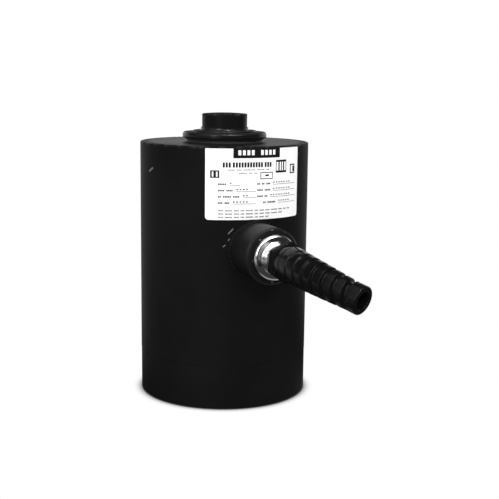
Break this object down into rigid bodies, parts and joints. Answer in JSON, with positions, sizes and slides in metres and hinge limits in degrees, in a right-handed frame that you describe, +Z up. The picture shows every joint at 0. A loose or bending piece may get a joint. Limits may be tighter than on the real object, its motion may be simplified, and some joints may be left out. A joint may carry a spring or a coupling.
{
  "type": "compression canister load cell",
  "caption": "Round steel canister load cell with a load button on top, a bolted base, a label plate and a side cable gland with a spiral strain relief.",
  "frame": {"origin": "middle of the base's underside, on the canister's axis", "axes": "+Z up along the canister's axis through the load button, -Y out through the cable gland and the label's middle, +X to the right when looking at the label"},
  "size_m": [0.108, 0.2178, 0.1805],
  "materials": {
    "body_paint": "black semi-gloss paint with light orange peel over steel",
    "column_steel": "alloy steel column, its load button painted black",
    "steel": "turned stainless steel",
    "screw_steel": "blackened alloy steel",
    "board": "green glass fibre circuit board",
    "nickel_brass": "nickel plated brass",
    "pin_brass": "bare brass",
    "resistor": "tan coated wire-wound resistor",
    "wire_coat": "red insulated lead",
    "gauge_foil": "amber film with a foil grid",
    "seal_rubber": "black sealing rubber",
    "bright_nickel": "bright nickel plating over brass",
    "boot_nylon": "black moulded nylon, satin with glossy nut corners",
    "label_white": "white printed foil plate, satin"
  },
  "bodies": {
    "root": {"axial_gauge_1": "gauge_foil", "axial_gauge_2": "gauge_foil", "axial_gauge_3": "gauge_foil", "axial_gauge_4": "gauge_foil", "base_plate": "body_paint", "board_screws": "screw_steel", "board_standoffs": "nickel_brass", "bridge_board": "board", "clamp_ring": "steel", "column_nut": "steel", "data_label": "label_white", "diaphragm_screws": "screw_steel", "diaphragm_spacer": "steel", "foot_retainer": "steel", "gauge_wiring": "wire_coat", "gland_body": "bright_nickel", "gland_boss": "body_paint", "gland_grommet": "seal_rubber", "gland_slip_ring": "pin_brass", "gland_weld": "body_paint", "housing_tube": "body_paint", "hub_spacer": "steel", "lower_diaphragm": "steel", "modulus_resistor_1": "resistor", "modulus_resistor_2": "resistor", "purge_plug": "screw_steel", "seal_diaphragm": "body_paint", "seal_ring": "body_paint", "sealing_washer": "seal_rubber", "sensing_column": "column_steel", "span_resistor": "resistor", "strain_relief_boot": "boot_nylon", "terminal_pins": "pin_brass", "top_plate": "body_paint", "transverse_gauge_1": "gauge_foil", "transverse_gauge_2": "gauge_foil", "transverse_gauge_3": "gauge_foil", "transverse_gauge_4": "gauge_foil", "upper_diaphragm": "steel", "zero_resistor": "resistor"}
  },
  "joints": []
}
